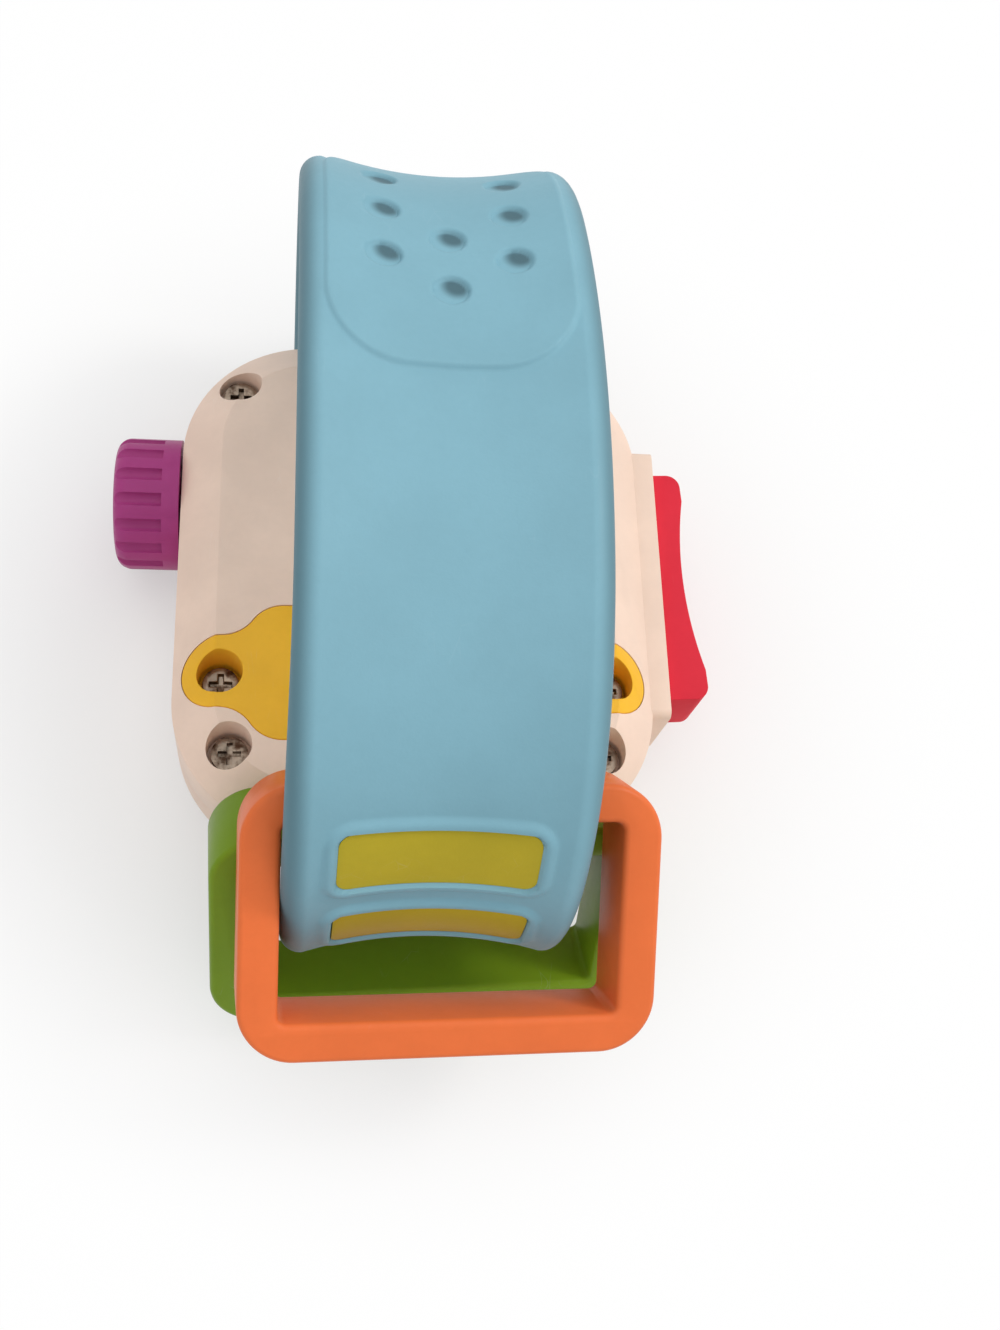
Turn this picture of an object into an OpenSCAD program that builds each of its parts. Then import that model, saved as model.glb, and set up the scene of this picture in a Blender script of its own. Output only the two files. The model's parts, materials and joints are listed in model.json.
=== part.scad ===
// Toy watch with a push crown, a side rocker, a closed wrist strap and two loose clacker rings.
// It lies face down: Z = 0 is the flat rim of the bezel, +Y points along the strap to its dimpled end
// and +X points to the rocker. The origin is the centre of the rim.

/* [Case] */
// Length of the case along the strap
case_l = 88; // [84:1:100]
// Height from the bezel's rim to the flat back
case_h = 30; // [29:0.5:36]
// Corner radius of the case in plan
case_corner_r = 22; // [18:1:26]
// Width of the sloping border round the back
chamfer_w = 6.7; // [4:0.1:8]
// Drop of the sloping border round the back
chamfer_h = 5.3; // [3:0.1:6]
// Wall of both shells
wall = 2.2; // [1.8:0.1:2.6]
// Height of the line where the shells part
part_z = 15; // [14:0.5:16]
// Radius of the case's front edge
front_edge_r = 3.6; // [2:0.1:4]

/* [Face] */
// Height of the bezel
bezel_h = 4; // [3.6:0.1:5]
// Outer diameter of the bezel
bezel_d = 67; // [62:1:72]
// Clear diameter inside the bezel
bezel_open_d = 54; // [50:1:56]
// Edge radius of the bezel
bezel_edge_r = 1.4; // [0.6:0.1:1.8]
// Thickness of the dial
dial_t = 1; // [0.8:0.1:1.2]
// Length of the hour hand
hour_hand_l = 14; // [10:0.5:16]
// Length of the minute hand
minute_hand_l = 20.5; // [17:0.5:23]
// Thickness of each hand
hand_t = 0.8; // [0.6:0.1:0.9]
// Diameter of the post that carries the hands
hand_post_d = 4; // [3:0.1:5]

/* [Battery door] */
// Lap of the door over each end of the battery box
door_lap = 0.45; // [0.3:0.05:1]
// Width of the door
door_l = 22.6; // [22.6:0.1:25]
// Distance of the door's middle from the middle of the case
door_y = -18.9; // [-20:0.1:-17]
// Thickness of the door
door_t = 2.2; // [1.6:0.1:2.4]
// Distance of each ear screw from the end of the door
ear_neck = 6; // [5.5:0.1:7]
// Radius of each ear
ear_r = 6; // [5.6:0.1:6.4]
// Rim of the case beyond each ear
ear_rim = 1.5; // [1:0.1:3]
// Diameter of the battery cells
cell_d = 10.5; // [10:0.1:10.5]
// Length of the battery cells without the nub
cell_l = 43.7; // [42:0.1:44]

/* [Screws] */
// Distance of the case screws from the sides of the case
case_screw_in = 9.3; // [8:0.1:10]
// Distance of the north case screws from the end of the case
case_screw_north = 10.5; // [9.5:0.1:12]
// Distance of the south case screws from the end of the case
case_screw_south = 13.1; // [12:0.1:13.5]
// Diameter of the wells over the case screws
screw_well_d = 7.2; // [6.8:0.1:7.6]
// Head diameter of the screws
screw_head_d = 5.8; // [5:0.1:6.2]
// Shank diameter of the screws
screw_d = 2.8; // [2.4:0.1:3]

/* [Crown] */
// Diameter of the crown
crown_d = 22.4; // [18:0.2:23]
// Length of the crown
crown_l = 10.8; // [8:0.2:14]
// Distance of the crown from the middle of the case
crown_y = 17.2; // [14:0.2:19]
// Number of grip grooves
crown_grooves = 16; // [10:1:20]
// Diameter of the crown's shaft
crown_shaft_d = 4; // [3:0.1:5]

/* [Rocker] */
// Length of the rocker
rocker_l = 42.4; // [40:0.2:46]
// Height of the rocker
rocker_h = 12; // [9:0.2:12]
// Reach of the rocker's ends beyond the side of the case
rocker_reach = 9.6; // [7:0.1:11]
// Depth of the rocker's hollow face
rocker_dish = 1.8; // [1:0.1:3]
// Distance of the rocker's pin from the middle of the case
rocker_y = 1.3; // [0:0.1:2]
// Tilt of the rocker to each side
rocker_tilt = 3; // [2:0.5:3]
// Reach of the rocker's housing beyond the side of the case
housing_reach = 3.2; // [2:0.1:4]

/* [Strap] */
// Width of the strap
strap_w = 41.5; // [36:0.5:43]
// Thickness of the strap at its rims
strap_t = 6.4; // [5.6:0.1:6.4]
// Depth of the hollow along the strap's outside
strap_dish = 2.5; // [1.5:0.1:3]
// Width of the hollow along the strap's outside
strap_dish_w = 35; // [33:0.5:36]
// Height of the middle of the strap's roots above the line where the shells part
strap_root_rise = 4; // [3.6:0.1:4.4]
// Distance of the side bends' centres from the middle of the loop
strap_side_y = 20; // [18:0.5:22]
// Depth of the crown's centre below the centres of the side bends
strap_crown_drop = 48; // [44:0.5:52]
// Distance of the middle of the loop from the middle of the case
strap_shift = -0.9; // [-1.5:0.1:0]
// Reach of half the loop beyond half the case
strap_overhang = 16; // [14:0.5:18]
// Radius of the bend at each root
strap_bend_r = 18.5; // [18:0.5:20]
// Diameter of the dimples
dimple_d = 5.2; // [3:0.2:6]
// Length of the strap between dimples of one row
dimple_pitch = 10.5; // [9:0.5:12]

/* [Rings] */
// Play of the orange ring on each side of the strap
orange_play = 3.15; // [2:0.05:4]
// Play of the green ring on each side of the strap
green_play = 6.65; // [5:0.05:8]
// Height of both rings
ring_l = 38.9; // [37:0.1:40]
// Depth of both rings
ring_t = 12.5; // [10:0.1:12.8]
// Wall of both rings
ring_wall = 5.6; // [4:0.1:5.8]
// Lean of the orange ring away from the case
orange_lean = 27.8; // [26:0.1:30]
// Lean of the green ring away from the case
green_lean = 58; // [56:0.5:60]

/* [Hidden] */
$fn = 96;

// Fits and cuts
over = 1;
fit_gap = 0.1;
run_gap = 0.05;
part_gap = 0.3;

// Battery box and the case round it
box_wall = 1.6;
cell_gap = 0.3;
cell_nub_d = 3.8;
cell_nub_l = 0.8;
contact_t = 0.6;
contact_w = 8;
spring_l = 4.4;
spring_small_r = 2;
spring_big_r = 3.6;
box_l = cell_l + cell_nub_l + spring_l + 2 * contact_t;
box_w = 2 * cell_d + cell_gap;
door_w = box_l + 2 * door_lap;
ear_x = door_w / 2 + ear_neck;
case_w = 2 * (ear_x + ear_r + ear_rim);
case_screw_x = case_w / 2 - case_screw_in;

// Case inside
floor_t = 2.2;
roof_t = 2.4;
floor_z = bezel_h + floor_t;
roof_z = case_h - roof_t;
side_x = case_w / 2;
end_y = case_l / 2;
corner_x = side_x - case_corner_r;
corner_y = end_y - case_corner_r;

// Screws
screw_head_h = 2.2;
screw_recess_w = 0.9;
screw_recess_l = 3.6;
screw_recess_depth = 1.2;
case_screw_rise = 7.4;
case_screw_seat_z = part_z + case_screw_rise;
case_screw_ys = [case_screw_south - end_y, end_y - case_screw_north];
screw_tip_z = floor_z + floor_t;
tower_wall = 1.6;
boss_wall = 2.4;

// Face
dial_rim = 2;
dial_d = bezel_open_d + 2 * dial_rim;
mark_count = 12;
mark_t = 0.7;
mark_w = 2.2;
mark_l = 4.4;
mark_inset = 1.6;
hand_w = 4.4;
hand_hub_d = 8;
hand_tip_d = 2.4;
hand_gap = 0.3;
hour_hand_z = bezel_h - hand_gap - hand_t;
minute_hand_z = hour_hand_z - hand_gap - hand_t;
post_cap_d = 7.4;
post_cap_t = 0.7;
post_cap_z = minute_hand_z - hand_gap - post_cap_t;
post_boss_h = 2.4;
post_boss_wall = 2.5;
hour_angle = 300;
minute_angle = 60;

// Battery door
cell_z = case_h - door_t - cell_gap - cell_d / 2;
box_floor_z = cell_z - cell_d / 2 - fit_gap;
cell_dy = (cell_d + cell_gap) / 2;
door_corner_r = 6;
door_fillet_r = 6;
door_step = door_l / 2 - ear_r;
door_slope_a = acos(1 - door_step / (door_corner_r + door_fillet_r));
door_shoulder_x = ear_x - (door_corner_r + door_fillet_r) * sin(door_slope_a);
pocket_corner_r = 4.05;
door_seat_t = 1;
door_seat_z = case_h - door_t - door_seat_t;
ear_cup_wall = 1.2;
ear_cup_h = 8;
ear_cup_floor = 1.6;
ear_cup_r = screw_well_d / 2 + ear_cup_wall;
ear_cup_z = case_h - door_t - ear_cup_h;
ear_screw_l = 4.8;

// Board
board_w = 48;
board_l = 26;
board_t = 1.6;
board_y = 2;
board_post_h = 3.2;
board_z = floor_z + board_post_h;
board_top_z = board_z + board_t;
post_inset = 3;
board_post_d = 5;
board_screw_d = 1.8;
board_screw_head_d = 3.6;
board_screw_head_h = 1.3;
board_screw_l = 2.6;
chip_w = 11;
chip_l = 8;
chip_t = 1.6;
chip_x = -8;

// Speaker
speaker_d = 29;
speaker_in = 26;
speaker_y = end_y - speaker_in;
speaker_rim_t = 1.6;
speaker_rim_h = 2.2;
speaker_plate_t = 1;
speaker_magnet_d = 17;
speaker_magnet_h = 5;
speaker_cone_t = 0.5;
speaker_cone_drop = 1.2;
speaker_wall = 1.4;
speaker_wall_h = 3.6;
speaker_plate_z = roof_z - speaker_rim_h - speaker_plate_t;
grille_d = 2.2;
grille_ring_r = 6.5;
grille_count = 6;
lead_d = 1.2;
speaker_lead_x = 10.5;
speaker_lead_y = board_y + board_l / 2 - lead_d;
battery_lead_x = board_w / 2 - post_inset - board_screw_head_d;
battery_lead_y = board_y - board_l / 2 + 2 * lead_d;

// Crown
crown_gap = 0.4;
crown_edge_r = 2.4;
crown_groove_r = 1.1;
crown_collar_l = 2.8;
crown_socket_l = 7;
bush_d = 7.4;
bush_flange_d = 10;
bush_flange_t = 1.4;
crown_cam_d = 9;
crown_cam_t = 2;
clip_d = 7.2;
clip_t = 1;
shaft_stub_l = 1.2;
leaf_t = 0.5;
leaf_w = 1.6;
leaf_foot_l = 4;
bush_in_x = -side_x + wall + bush_flange_t;
cam_x = bush_in_x + crown_gap;
clip_x = cam_x + crown_cam_t;
shaft_end_x = clip_x + clip_t + shaft_stub_l;

// Rocker
rocker_back_in = 0.5;
rocker_pin_out = 1.6;
rocker_back_x = side_x - rocker_back_in;
rocker_pin_x = side_x + rocker_pin_out;
rocker_pin_d = 2.4;
rocker_pin_cover = 0.6;
rocker_end_r = 2.4;
rocker_land = 5.2;
rocker_side_gap = 0.5;
rocker_end_gap = 1.3;
housing_wall = 1.8;
housing_end_wall = 2.4;
housing_plug_wall = 1;
housing_window_in = 0.8;
housing_plug_l = 1.3;
housing_edge_r = 1.4;
housing_rise = 0.7;
housing_z = bezel_h + front_edge_r + housing_rise;
rocker_z = housing_z + housing_wall + rocker_side_gap;
housing_h = rocker_h + 2 * (housing_wall + rocker_side_gap);
pocket_l = rocker_l + 2 * rocker_end_gap;
pocket_h = rocker_h + 2 * rocker_side_gap;
housing_l = pocket_l + 2 * housing_end_wall;
rocker_face_x = side_x + rocker_reach;
rocker_dish_half = rocker_l / 2 - rocker_land;
rocker_dish_r = (pow(rocker_dish_half, 2) + pow(rocker_dish, 2)) / (2 * rocker_dish);

// Side switches
switch_dy = 9;
switch_w = 6;
switch_h = 3.4;
switch_plunger_d = 3;
switch_plunger_gap = 0.4;
switch_board_t = 1.6;
switch_board_rim = 1;
switch_board_l = 2 * (switch_dy + switch_board_rim) + switch_w;
switch_board_top = part_z - part_gap;
switch_tip_x = rocker_back_x - switch_dy * sin(rocker_tilt) - switch_plunger_gap;
switch_plunger_l = 1;
switch_face_x = switch_tip_x - switch_plunger_l;
switch_board_x = switch_face_x - switch_h;
switch_drop = 1;
switch_z = rocker_z + switch_w / 2 - switch_drop;

// Strap
strap_rim_r = 3.1;
strap_half_span = end_y + strap_overhang;
strap_side_r = strap_half_span - strap_side_y;
strap_crown_r = strap_side_r + sqrt(pow(strap_side_y, 2) + pow(strap_crown_drop, 2));
strap_root_z = part_z + strap_root_rise;
strap_bend_y = strap_half_span - strap_bend_r;
strap_bend_z = strap_root_z + strap_bend_r;
strap_crown_z = strap_bend_z - strap_crown_drop;
strap_top_z = strap_crown_z + strap_crown_r;
strap_crown_a = atan2(strap_side_y, strap_crown_drop);
strap_crown_s = strap_crown_r * strap_crown_a * PI / 180;
dish_r = (pow(strap_dish_w / 2, 2) + pow(strap_dish, 2)) / (2 * strap_dish);
dish_u = strap_t / 2 - strap_dish + dish_r;
tongue_in = 7.6;
tongue_y = end_y - tongue_in;
slot_gap = 0.5;
pin_d = 3;
pin_in = 4.6;
pin_y = end_y - pin_in;
pin_boss_w = 3.6;
pin_boss_l = 6.4;
pin_l = strap_w + 2 * pin_boss_w;
relief_t = 0.6;
relief_root = 0.6;
flap_w = 34.4;
flap_tip_y = 5.7;
flap_tip_r = 11;
flap_l = 47;
dimple_depth = 1.6;
dimple_first = 18.9;
dimple_side_shift = 6;
dimple_side_x = 9.2;
dimple_mid_rows = 2;
dimple_side_rows = 3;
inlay_w = 27.8;
inlay_l = 10.6;
inlay_t = 1.4;
inlay_proud = 0.15;
inlay_sunk = inlay_t - inlay_proud;
inlay_border = 2;
inlay_pitch = 15;
inlay_first_a = 59.5;
inlay_count = 2;

// Rings, each placed by the middle of its back face
ring_corner_r = 8;
ring_inner_r = 1.2;
ring_roll = 3;
ring_rest = 0.6;
green_rest = 1.1;
orange_w = strap_w + 2 * (ring_wall + orange_play);
green_w = strap_w + 2 * (ring_wall + green_play);
green_x = 0.5;
green_out = 4;
green_y = -end_y - green_out;
green_z = ring_l / 2 * sin(green_lean) + green_rest;
green_top_y = green_y + ring_l / 2 * cos(green_lean) - ring_t * sin(green_lean);
green_top_z = green_z + ring_l / 2 * sin(green_lean) + ring_t * cos(green_lean);
orange_x = 1.7;
orange_hang = 9.2;
orange_y = green_top_y - orange_hang * cos(orange_lean) - ring_rest * sin(orange_lean);
orange_z = green_top_z - orange_hang * sin(orange_lean) + ring_rest * cos(orange_lean);

cream = [0.93, 0.87, 0.82];
blue = [0.53, 0.72, 0.79];
yellow = [0.92, 0.70, 0.24];
orange = [0.95, 0.44, 0.23];
green = [0.45, 0.62, 0.16];
purple = [0.53, 0.16, 0.45];
red = [0.85, 0.12, 0.20];
steel = [0.72, 0.73, 0.75];

// Rounded rectangle in plan
module rounded(w, l, r) {
    square([w - 2 * r, l], center = true);
    square([w, l - 2 * r], center = true);
    for (sx = [-1, 1], sy = [-1, 1])
        translate([sx * (w / 2 - r), sy * (l / 2 - r)])
            circle(r = r);
}

// Profile carried round a rounded rectangle, its X measured from the line of corner centres
module carried_round(w, l, r) {
    for (k = [0:3]) {
        along = k % 2 == 0 ? l : w;
        across = k % 2 == 0 ? w : l;
        rotate([0, 0, 90 * k]) {
            translate([across / 2 - r, along / 2 - r, 0])
                rotate_extrude(angle = 90)
                    children();
            translate([across / 2 - r, along / 2 - r, 0])
                rotate([90, 0, 0])
                    linear_extrude(along - 2 * r)
                        children();
        }
    }
}

// Outside of the closed case, without its bezel
module case_block() {
    r = case_corner_r;
    carried_round(case_w, case_l, r) {
        polygon([
            [0, bezel_h], [r - front_edge_r, bezel_h], [r - front_edge_r, bezel_h + front_edge_r],
            [r, bezel_h + front_edge_r], [r, case_h - chamfer_h], [r - chamfer_w, case_h], [0, case_h]
        ]);
        translate([r - front_edge_r, bezel_h + front_edge_r])
            circle(r = front_edge_r);
    }
    translate([-corner_x, -corner_y, bezel_h])
        cube([2 * corner_x, 2 * corner_y, case_h - bezel_h]);
}

// Hollow of the rear shell, sloping like the back's border
module rear_hollow() {
    r = case_corner_r;
    rise = chamfer_h - roof_t / 2;
    run = rise * chamfer_w / chamfer_h;
    carried_round(case_w, case_l, r)
        polygon([
            [0, part_z - over], [r - wall, part_z - over], [r - wall, roof_z - rise],
            [r - wall - run, roof_z], [0, roof_z]
        ]);
    translate([-corner_x, -corner_y, part_z - over])
        cube([2 * corner_x, 2 * corner_y, roof_z - part_z + over]);
}

module at_case_screws() {
    for (sx = [-1, 1], y = case_screw_ys)
        translate([sx * case_screw_x, y, 0])
            children();
}

module at_ears() {
    for (sx = [-1, 1])
        translate([sx * ear_x, door_y, 0])
            children();
}

module at_board_posts() {
    for (sx = [-1, 1], sy = [-1, 1])
        translate([sx * (board_w / 2 - post_inset), board_y + sy * (board_l / 2 - post_inset), 0])
            children();
}

// Door seen from the back, grown by a gap, its ends drawn in to the ears by a pair of arcs
module door_outline(gap) {
    corner_y = door_l / 2 - door_corner_r;
    meet_x = door_shoulder_x + (door_corner_r + gap) * sin(door_slope_a);
    meet_y = corner_y + (door_corner_r + gap) * cos(door_slope_a);
    translate([0, door_y]) {
        square([2 * door_shoulder_x, door_l + 2 * gap], center = true);
        for (sx = [-1, 1])
            translate([sx * ear_x, 0])
                circle(r = ear_r + gap);
        for (mx = [0, 1], my = [0, 1])
            mirror([mx, 0])
                mirror([0, my]) {
                    translate([door_shoulder_x, corner_y])
                        circle(r = door_corner_r + gap);
                    difference() {
                        polygon([
                            [0, 0], [0, corner_y], [door_shoulder_x, corner_y], [meet_x, meet_y],
                            [ear_x, ear_r + gap], [ear_x, 0]
                        ]);
                        translate([ear_x, ear_r + door_fillet_r])
                            circle(r = door_fillet_r - gap);
                    }
                }
    }
}

// Screw hanging below its head's seat, with a cross recess
module screw(d, head_d, head_h, l) {
    difference() {
        union() {
            cylinder(d = head_d, h = head_h);
            translate([0, 0, -l])
                cylinder(d = d, h = l);
        }
        for (a = [0, 90])
            rotate([0, 0, a])
                translate([-screw_recess_l / 2, -screw_recess_w / 2, head_h - screw_recess_depth])
                    cube([screw_recess_l, screw_recess_w, screw_recess_depth + over]);
    }
}

// Opening in the side of both shells for the rocker's housing
module rocker_window() {
    plug_l = pocket_l + 2 * (housing_plug_wall + fit_gap);
    plug_h = pocket_h + 2 * (housing_plug_wall + fit_gap);
    from_x = side_x - wall - housing_window_in;
    translate([from_x, rocker_y - plug_l / 2, rocker_z + rocker_h / 2 - plug_h / 2])
        cube([case_corner_r + over, plug_l, plug_h]);
}

module crown_hole(d, x_from, x_to) {
    translate([x_from, crown_y, part_z])
        rotate([0, 90, 0])
            cylinder(d = d, h = x_to - x_from);
}

// Front half of the case: floor, side walls, screw bosses and board posts
module front_shell() {
    color(cream)
        difference() {
            union() {
                difference() {
                    intersection() {
                        case_block();
                        translate([-case_w, -case_l, 0])
                            cube([2 * case_w, 2 * case_l, part_z]);
                    }
                    translate([0, 0, floor_z])
                        linear_extrude(part_z)
                            rounded(case_w - 2 * wall, case_l - 2 * wall, case_corner_r - wall);
                }
                at_case_screws()
                    translate([0, 0, floor_z - over])
                        cylinder(d = screw_d + 2 * boss_wall, h = part_z - floor_z + over);
                at_board_posts()
                    translate([0, 0, floor_z - over])
                        cylinder(d = board_post_d, h = board_z - floor_z + over);
                translate([0, 0, floor_z - over])
                    cylinder(d = hand_post_d + 2 * post_boss_wall, h = post_boss_h + over);
            }
            at_case_screws()
                translate([0, 0, screw_tip_z - fit_gap])
                    cylinder(d = screw_d + 2 * run_gap, h = part_z);
            at_board_posts()
                translate([0, 0, board_z - board_screw_l - fit_gap])
                    cylinder(d = board_screw_d + 2 * run_gap, h = part_z);
            translate([0, 0, bezel_h - over])
                cylinder(d = dial_d + 2 * fit_gap, h = dial_t + fit_gap + over);
            cylinder(d = hand_post_d + 2 * run_gap, h = part_z);
            rocker_window();
            crown_hole(bush_d + 2 * run_gap, -side_x - over, bush_in_x);
        }
}

// Rear half of the case: sloping back, battery box, screw towers, speaker ring and strap slots
module rear_shell() {
    color(cream)
        difference() {
            union() {
                difference() {
                    intersection() {
                        case_block();
                        translate([-case_w, -case_l, part_z])
                            cube([2 * case_w, 2 * case_l, case_h]);
                    }
                    rear_hollow();
                }
                intersection() {
                    case_block();
                    union() {
                        at_case_screws()
                            translate([0, 0, part_z])
                                cylinder(d = screw_well_d + 2 * tower_wall, h = case_h);
                        at_ears()
                            translate([0, 0, part_z + part_gap])
                                cylinder(r = ear_cup_r + fit_gap + tower_wall, h = case_h);
                        translate([
                            -box_l / 2 - box_wall, door_y - box_w / 2 - box_wall, box_floor_z - box_wall
                        ])
                            cube([box_l + 2 * box_wall, box_w + 2 * box_wall, case_h]);
                        translate([0, speaker_y, roof_z - speaker_wall_h])
                            cylinder(d = speaker_d + 2 * (fit_gap + speaker_wall), h = speaker_wall_h + over);
                        for (sx = [-1, 1], sy = [-1, 1])
                            translate([
                                sx * (strap_w / 2 + slot_gap + pin_boss_w / 2) - pin_boss_w / 2,
                                sy * pin_y - pin_boss_l / 2, part_z
                            ])
                                cube([pin_boss_w, pin_boss_l, case_h]);
                    }
                }
            }
            at_case_screws() {
                translate([0, 0, case_screw_seat_z])
                    cylinder(d = screw_well_d, h = case_h);
                translate([0, 0, part_z - over])
                    cylinder(d = screw_d + 2 * run_gap, h = case_h);
            }
            difference() {
                translate([0, 0, part_z])
                    linear_extrude(case_h)
                        door_outline(fit_gap);
                translate([0, 0, -door_t - fit_gap])
                    case_block();
            }
            at_ears() {
                translate([0, 0, ear_cup_z - fit_gap])
                    cylinder(r = ear_cup_r + fit_gap, h = case_h);
                translate([0, 0, ear_cup_z + ear_cup_floor - ear_screw_l - fit_gap])
                    cylinder(d = screw_d + 2 * run_gap, h = case_h);
            }
            translate([-box_l / 2, door_y - box_w / 2, box_floor_z])
                cube([box_l, box_w, door_seat_z - box_floor_z]);
            translate([0, door_y, door_seat_z - over])
                linear_extrude(case_h)
                    rounded(box_l, box_w, pocket_corner_r);
            translate([0, speaker_y, roof_z - speaker_wall_h - over])
                cylinder(d = speaker_d + 2 * fit_gap, h = speaker_wall_h + over);
            translate([0, speaker_y, roof_z - over]) {
                cylinder(d = grille_d, h = case_h);
                for (k = [0:grille_count - 1])
                    rotate([0, 0, k * 360 / grille_count])
                        translate([grille_ring_r, 0, 0])
                            cylinder(d = grille_d, h = case_h);
            }
            for (sy = [-1, 1]) {
                translate([
                    -strap_w / 2 - slot_gap, sy > 0 ? tongue_y - slot_gap : -end_y - over,
                    strap_root_z - strap_t / 2 - slot_gap
                ])
                    cube([strap_w + 2 * slot_gap, tongue_in + slot_gap + over, strap_t + 2 * slot_gap]);
                translate([0, sy * pin_y, strap_root_z])
                    rotate([0, 90, 0])
                        cylinder(d = pin_d + 2 * run_gap, h = pin_l + 2 * fit_gap, center = true);
            }
            rocker_window();
            crown_hole(bush_d + 2 * run_gap, -side_x - over, bush_in_x);
        }
}

// Ring on the front that the watch lies on
module bezel() {
    color(blue)
        rotate_extrude()
            translate([bezel_open_d / 2, 0]) {
                ring = (bezel_d - bezel_open_d) / 2;
                translate([bezel_edge_r, 0])
                    square([ring - 2 * bezel_edge_r, bezel_h]);
                translate([0, bezel_edge_r])
                    square([ring, bezel_h - bezel_edge_r]);
                for (x = [bezel_edge_r, ring - bezel_edge_r])
                    translate([x, bezel_edge_r])
                        circle(r = bezel_edge_r);
            }
}

module dial() {
    color("ivory")
        translate([0, 0, bezel_h])
            difference() {
                cylinder(d = dial_d, h = dial_t);
                translate([0, 0, -over])
                    cylinder(d = hand_post_d + 2 * run_gap, h = dial_t + 2 * over);
            }
}

// Plain hour marks standing out of the dial
module dial_marks() {
    color(purple)
        for (k = [0:mark_count - 1])
            rotate([0, 0, k * 360 / mark_count])
                translate([0, bezel_open_d / 2 - mark_inset - mark_l / 2, bezel_h - mark_t])
                    linear_extrude(mark_t)
                        rounded(mark_w, mark_l, mark_w / 4);
}

// Hand pointing along Y, with a bored hub and a round tip
module hand(l, z) {
    translate([0, 0, z])
        difference() {
            union() {
                cylinder(d = hand_hub_d, h = hand_t);
                linear_extrude(hand_t)
                    polygon([[-hand_w / 2, 0], [hand_w / 2, 0], [hand_tip_d / 2, l], [-hand_tip_d / 2, l]]);
                translate([0, l, 0])
                    cylinder(d = hand_tip_d, h = hand_t);
            }
            translate([0, 0, -over])
                cylinder(d = hand_post_d + 2 * run_gap, h = hand_t + 2 * over);
        }
}

module hour_hand() {
    color(red)
        rotate([0, 0, hour_angle])
            hand(hour_hand_l, hour_hand_z);
}

module minute_hand() {
    color("royalblue")
        rotate([0, 0, minute_angle])
            hand(minute_hand_l, minute_hand_z);
}

module hand_post() {
    color(yellow)
        translate([0, 0, post_cap_z]) {
            cylinder(d = post_cap_d, h = post_cap_t);
            cylinder(d = hand_post_d, h = floor_z + post_boss_h - post_cap_z);
        }
}

// Door lying flush in the back, its ears bent over the sloping border and cupped for their screws
module battery_door() {
    color(yellow)
        difference() {
            union() {
                difference() {
                    intersection() {
                        case_block();
                        translate([0, 0, part_z])
                            linear_extrude(case_h)
                                door_outline(0);
                    }
                    translate([0, 0, -door_t])
                        case_block();
                }
                intersection() {
                    case_block();
                    at_ears()
                        translate([0, 0, ear_cup_z])
                            cylinder(r = ear_cup_r, h = case_h);
                }
            }
            at_ears() {
                translate([0, 0, ear_cup_z + ear_cup_floor])
                    cylinder(d = screw_well_d, h = case_h);
                translate([0, 0, ear_cup_z - over])
                    cylinder(d = screw_d + 2 * run_gap, h = case_h);
            }
        }
}

module door_screws() {
    color(steel)
        at_ears()
            translate([0, 0, ear_cup_z + ear_cup_floor])
                screw(screw_d, screw_head_d, screw_head_h, ear_screw_l);
}

module case_screws() {
    color(steel)
        at_case_screws()
            translate([0, 0, case_screw_seat_z])
                screw(screw_d, screw_head_d, screw_head_h, case_screw_seat_z - screw_tip_z);
}

// Cell lying along X with its nub to +X, resting on the box's floor
module battery_cell() {
    translate([box_l / 2 - contact_t - cell_nub_l - cell_l, 0, cell_z])
        rotate([0, 90, 0]) {
            cylinder(d = cell_d, h = cell_l);
            cylinder(d = cell_nub_d, h = cell_l + cell_nub_l);
        }
}

module battery_cell_north() {
    color("dimgray")
        translate([0, door_y + cell_dy, 0])
            battery_cell();
}

module battery_cell_south() {
    color("dimgray")
        translate([0, door_y - cell_dy, 0])
            rotate([0, 0, 180])
                battery_cell();
}

module contact_springs() {
    color(steel)
        for (s = [-1, 1])
            translate([-s * (box_l / 2 - contact_t), door_y + s * cell_dy, cell_z])
                rotate([0, s * 90, 0])
                    cylinder(r1 = spring_big_r, r2 = spring_small_r, h = spring_l);
}

module contact_plates() {
    color(steel)
        for (sx = [-1, 1], sy = [-1, 1])
            translate([
                sx * (box_l / 2 - contact_t / 2) - contact_t / 2,
                door_y + sy * cell_dy - contact_w / 2, box_floor_z
            ])
                cube([contact_t, contact_w, contact_w]);
}

module circuit_board() {
    color("darkgreen")
        difference() {
            translate([-board_w / 2, board_y - board_l / 2, board_z])
                cube([board_w, board_l, board_t]);
            at_board_posts()
                translate([0, 0, board_z - over])
                    cylinder(d = board_screw_d + 2 * run_gap, h = board_t + 2 * over);
        }
}

module sound_chip() {
    color("black")
        translate([chip_x - chip_w / 2, board_y - chip_l / 2, board_top_z])
            cube([chip_w, chip_l, chip_t]);
}

module board_screws() {
    color(steel)
        at_board_posts()
            translate([0, 0, board_top_z]) {
                cylinder(d = board_screw_head_d, h = board_screw_head_h);
                translate([0, 0, -board_t - board_screw_l])
                    cylinder(d = board_screw_d, h = board_t + board_screw_l);
            }
}

module speaker_frame() {
    color("silver")
        translate([0, speaker_y, speaker_plate_z]) {
            cylinder(d = speaker_d, h = speaker_plate_t);
            difference() {
                cylinder(d = speaker_d, h = speaker_plate_t + speaker_rim_h);
                cylinder(d = speaker_d - 2 * speaker_rim_t, h = speaker_plate_t + speaker_rim_h + over);
            }
        }
}

// Paper cone glued to the frame's plate and rim
module speaker_cone() {
    r = speaker_d / 2 - speaker_rim_t;
    color("black")
        translate([0, speaker_y, speaker_plate_z + speaker_plate_t])
            rotate_extrude()
                polygon([
                    [0, 0], [speaker_magnet_d / 4, 0], [r, speaker_cone_drop],
                    [r, speaker_cone_drop + speaker_cone_t],
                    [speaker_magnet_d / 4, speaker_cone_t], [0, speaker_cone_t]
                ]);
}

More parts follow.
